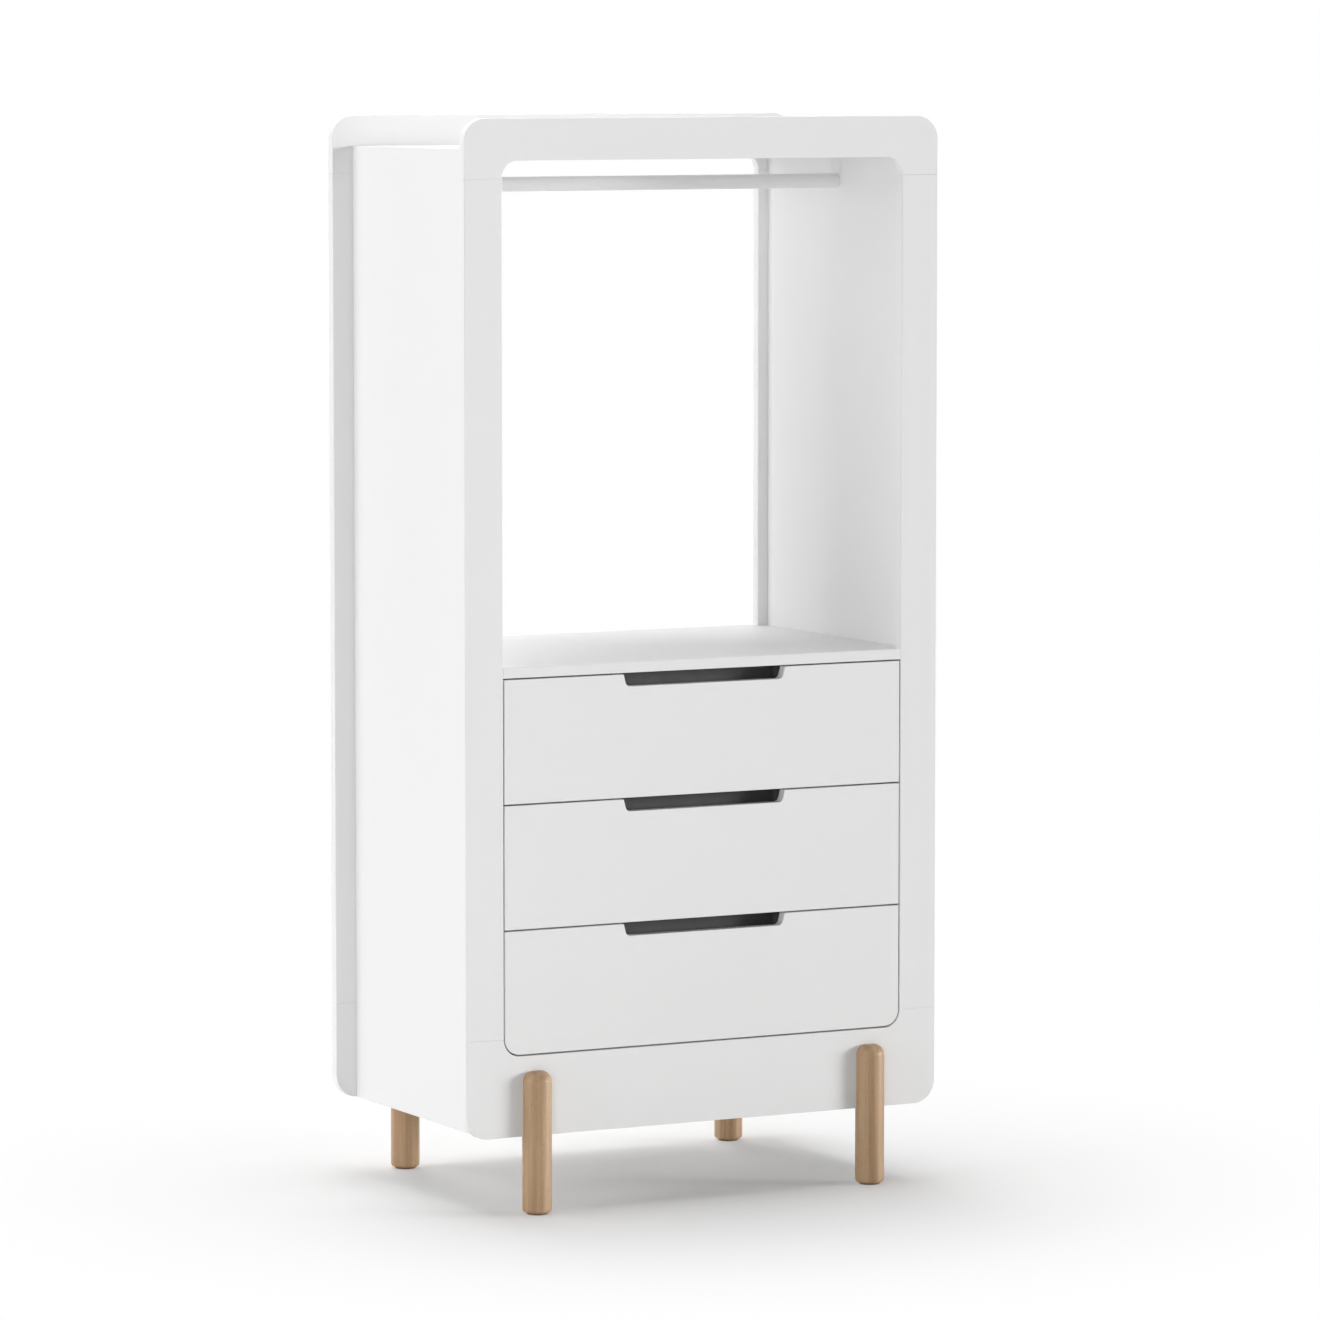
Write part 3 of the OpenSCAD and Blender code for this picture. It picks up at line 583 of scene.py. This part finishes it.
def deck_outline():
    """The deck fills the openings of both frames, and is wider between them, up to the side panels."""
    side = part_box("right_side_panel")[0].x
    corners = [(opening_half, front_near), (opening_half, front_far), (side, front_far)]
    corners += [(side, back_near), (opening_half, back_near), (opening_half, back_far)]
    return corners + [(-x, y) for x, y in reversed(corners)]


def make_panels():
    for side in SIDES:
        box_board(side + "_side_panel", "cabinet", "white_lacquer", axis="x")
    for node in ("top_panel", "bottom_panel"):
        box_board(node, "cabinet", "white_lacquer", axis="z")
    box_board("back_panel", "cabinet", "white_board", BACK_PANEL_ARRIS)
    low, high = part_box("deck_panel")
    deck = prism("deck_panel_look", deck_outline(), "z", low.z, high.z)
    soften(deck, PANEL_ARRIS)
    finish_piece(deck, "cabinet", "white_lacquer", ["deck_panel"])


# Battens


def make_battens():
    """Each side has a batten behind the runner of every drawer, and all battens are equally high."""
    runners = [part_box(drawer + "_intermediate_runners") for drawer in DRAWERS]
    rise = runners[-1][0].z - runners[0][0].z
    for side in SIDES:
        node = side + "_battens"
        low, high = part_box(node)
        half = (high.z - low.z - rise) / 2
        parts = []
        for runner_low, runner_high in runners:
            middle = (runner_low.z + runner_high.z) / 2
            outline = rectangle(low.x, middle - half, high.x, middle + half)
            parts.append(prism(node + "_part", outline, "y", low.y, high.y))
        made = join(node + "_look", parts)
        soften(made, BATTEN_ARRIS, segments=2)
        finish_piece(made, "cabinet", "batten_wood", [node])


# Hanging rail


def make_hanging_rail():
    low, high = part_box("hanging_rail")
    centre = ((low.y + high.y) / 2, (low.z + high.z) / 2)
    outer = (high.z - low.z) / 2
    inner, end = outer - RAIL_WALL, outer - RAIL_CHAMFER
    left, right = low.x, high.x
    profile = [(inner, left), (end, left), (outer, left + RAIL_CHAMFER)]
    profile += [(outer, right - RAIL_CHAMFER), (end, right), (inner, right), (inner, left)]
    made = lathe("hanging_rail_look", profile, centre, "x", TURNED_STEPS)
    smooth(made)
    finish_piece(made, "cabinet", "white_steel", ["hanging_rail"])


# Legs


def leg_profile(top):
    foot = arc(LEG_RADIUS - LEG_FOOT, GLIDE_HEIGHT + LEG_FOOT, LEG_FOOT, -90, 0, FOOT_STEPS)
    dome = arc(LEG_RADIUS - LEG_DOME, top - LEG_DOME, LEG_DOME, 0, 90, DOME_STEPS)
    return [(0, GLIDE_HEIGHT)] + foot + dome + [(0, top)]


def make_leg(node):
    """A round leg with a domed top. Above the frame's lower edge it is cut flat where it lies on the face."""
    low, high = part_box(node)
    face = front_near if node.startswith("front") else back_near
    centre = ((low.x + high.x) / 2, face - LEG_OUT)
    made = lathe(node + "_look", leg_profile(high.z), centre, "z", TURNED_STEPS)
    behind = rectangle(low.x - LEG_RADIUS, face, high.x + LEG_RADIUS, face + 2 * LEG_RADIUS)
    combine(made, prism("lap", behind, "z", clear_height, high.z + LEG_RADIUS), "DIFFERENCE")
    smooth(made)
    finish_piece(made, "cabinet", "beech", [node])


# Drawers


def notch_outline(top):
    """The notch from its lower edge up to a height, with ends that lean outwards and round corners."""
    lean = math.radians(NOTCH_LEAN)
    x = NOTCH_HALF - (NOTCH_HEIGHT - NOTCH_CORNER) * math.tan(lean) - NOTCH_CORNER / math.cos(lean)
    end = NOTCH_HALF + (top - NOTCH_HEIGHT) * math.tan(lean)
    left = arc(-x, NOTCH_CORNER, NOTCH_CORNER, 180 + NOTCH_LEAN, 270, NOTCH_STEPS)
    right = arc(x, NOTCH_CORNER, NOTCH_CORNER, 270, 360 - NOTCH_LEAN, NOTCH_STEPS)
    return [(-end, top)] + left + right + [(end, top)]


def front_outline(low, high, rounded):
    """Outline of a drawer front with the notch in its top edge, and with round lower corners if asked."""
    if rounded:
        corner = INNER_CORNER - DRAWER_GAP
        points = arc(low.x + corner, low.z + corner, corner, 180, 270, CORNER_STEPS)
        points += arc(high.x - corner, low.z + corner, corner, 270, 360, CORNER_STEPS)
    else:
        points = [(low.x, low.z), (high.x, low.z)]
    floor = high.z - NOTCH_HEIGHT
    points.append((high.x, high.z))
    points += [(u, v + floor) for u, v in reversed(notch_outline(NOTCH_HEIGHT))]
    return points + [(low.x, high.z)]


def make_pull(body):
    """The finger trough: a moulded tub behind the notch, with a rim on the back of the front."""
    node = body + "_pull"
    front_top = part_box(body + "_front")[1].z
    wall = TROUGH_WALL
    made = tub(node + "_look", half=TROUGH_HALF + wall, depth=TROUGH_DEPTH, drop=TROUGH_DROP + wall,
               top=NOTCH_HEIGHT, corner=TROUGH_CORNER, front=0)
    rim_x, rim_z = NOTCH_HALF + RIM_WIDTH, -TROUGH_DROP - RIM_WIDTH
    rim = rounded_rectangle(-rim_x, rim_z, rim_x, NOTCH_HEIGHT, NOTCH_CORNER, TROUGH_STEPS)
    combine(made, prism("rim", rim, "y", 0, wall), "UNION")
    inside = tub("inside", half=TROUGH_HALF, depth=TROUGH_DEPTH - wall, drop=TROUGH_DROP,
                 top=NOTCH_HEIGHT + CUT_PAST, corner=TROUGH_CORNER - wall, front=wall)
    combine(made, inside, "DIFFERENCE")
    mouth = notch_outline(2 * NOTCH_HEIGHT)
    combine(made, prism("mouth", mouth, "y", -CUT_PAST, wall + CUT_PAST), "DIFFERENCE")
    made.data.transform(Matrix.Translation((0, front_far, front_top - NOTCH_HEIGHT)))
    smooth(made, SHARP_TROUGH_EDGE)
    finish_piece(made, body, "dark_plastic", [node])


def make_drawer(drawer):
    body = drawer + "_drawer"
    node = body + "_front"
    low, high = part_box(node)
    made = prism(node + "_look", front_outline(low, high, drawer == "bottom"), "y", low.y, high.y)
    soften(made, FRONT_ARRIS)
    finish_piece(made, body, "white_lacquer", [node])
    make_pull(body)
    for side in SIDES:
        box_board(f"{body}_{side}_side", body, "white_board", axis="x")
    box_board(body + "_back", body, "white_board")
    box_board(body + "_bottom", body, "white_board", DRAWER_BOTTOM_ARRIS, axis="z")


# Floor, backdrop and light

WHITE = (1, 1, 1, 1)
BLACK = (0, 0, 0, 1)

# The floor lies a little below the feet, so that no two faces share a plane
FLOOR_HALF = 60
FLOOR_BELOW = 0.2 * MM
FLOOR_TONE = (0.918, 0.915, 0.911, 1)

# The floor fades with the distance from the origin. A start below zero means that it has begun there.
FADE_START, FADE_END = -0.2, 1.5

# Square lamps: place, side length and power. They all point at the middle of the object.
LAMPS = {
    "left_back": ((-5.0, 3.0, 2.6), 3.0, 78),
    "top": ((0.3, 0.4, 6.0), 3.0, 158),
    "back": ((0.8, 6.0, 1.8), 3.0, 163),
    "front_left": ((-4.5, -5.0, 1.5), 2.5, 81),
}
LAMP_AIM = Vector((0, 0, 0.9))

# Far lamps: direction they shine from, in degrees from the front towards the right, height in degrees,
# size in degrees and strength. Their light doesn't depend on their distance.
SUNS = {
    "key": (55, 8, 18, 0.53),
    "key_low": (62, 2, 18, 3.0),
    "left_low": (-90, 6, 38, 1.71),
    "back_high": (180, 62, 38, 0.55),
}
SUN_DISTANCE = 6


def make_floor():
    """A pale floor that keeps the shadow and fades to the white of the backdrop away from the object."""
    mesh = bpy.data.meshes.new("floor")
    corners = [(x, y, -FLOOR_BELOW) for x, y in rectangle(-FLOOR_HALF, -FLOOR_HALF, FLOOR_HALF, FLOOR_HALF)]
    mesh.from_pydata(corners, [], [(0, 1, 2, 3)])
    floor = mesh_object("floor", mesh)
    material, tree, place = start_material("floor")
    tree.nodes.remove(tree.nodes["Principled BSDF"])
    distance = add(tree, "VectorMath", {0: place}, operation="LENGTH").outputs["Value"]
    ramp = {"Value": distance, "From Min": FADE_START, "From Max": FADE_END}
    far = add(tree, "MapRange", ramp, interpolation_type="SMOOTHERSTEP").outputs["Result"]
    seen = add(tree, "LightPath").outputs["Is Camera Ray"]
    share = add(tree, "Math", {0: far, 1: seen}, operation="MULTIPLY").outputs[0]
    matt = add(tree, "BsdfDiffuse", {"Color": FLOOR_TONE}).outputs["BSDF"]
    white = add(tree, "Emission", {"Color": WHITE, "Strength": 1.0}).outputs["Emission"]
    mixed = add(tree, "MixShader", {0: share, 1: matt, 2: white}).outputs["Shader"]
    tree.links.new(mixed, tree.nodes["Material Output"].inputs["Surface"])
    floor.data.materials.append(material)


def place_lamp(name, data, place, source):
    """Puts a lamp in its place, and turns it so that its light comes from the direction of the source."""
    lamp = bpy.data.objects.new(name, data)
    lamp.location = place
    lamp.rotation_mode = "QUATERNION"
    lamp.rotation_quaternion = source.to_track_quat("Z", "Y")
    lamp.visible_camera = False
    bpy.context.scene.collection.objects.link(lamp)


def make_lamps():
    for name, (place, size, power) in LAMPS.items():
        data = bpy.data.lights.new(name, "AREA")
        data.shape = "SQUARE"
        data.size = size
        data.energy = power
        place_lamp(name, data, place, Vector(place) - LAMP_AIM)
    for name, (around, height, size, strength) in SUNS.items():
        data = bpy.data.lights.new(name, "SUN")
        data.angle = math.radians(size)
        data.energy = strength
        around, height = math.radians(around), math.radians(height)
        level = math.cos(height)
        source = Vector((math.sin(around) * level, -math.cos(around) * level, math.sin(height)))
        place_lamp(name, data, SUN_DISTANCE * source, source)


def make_world():
    """White to the camera and in reflections, and no light of its own: that is the lamps' work."""
    world = bpy.data.worlds.new("world")
    world.use_nodes = True
    tree = world.node_tree
    tree.nodes.clear()
    path = add(tree, "LightPath").outputs
    seen = add(tree, "Math", {0: path["Is Camera Ray"], 1: path["Is Glossy Ray"]}, operation="MAXIMUM")
    shown = add(tree, "Math", {0: seen.outputs[0], 1: path["Is Transmission Ray"]}, operation="MAXIMUM")
    white = add(tree, "Background", {"Color": WHITE, "Strength": 1.0}).outputs["Background"]
    unlit = add(tree, "Background", {"Color": BLACK, "Strength": 0.0}).outputs["Background"]
    mixed = add(tree, "MixShader", {0: shown.outputs[0], 1: unlit, 2: white}).outputs["Shader"]
    add(tree, "OutputWorld", {"Surface": mixed})
    bpy.context.scene.world = world


make_camera()
make_frames()
make_panels()
make_battens()
make_hanging_rail()
for leg in LEGS:
    make_leg(leg)
for drawer in DRAWERS:
    make_drawer(drawer)
finish_nodes()
make_floor()
make_lamps()
make_world()
bpy.context.scene.view_settings.view_transform = "Standard"
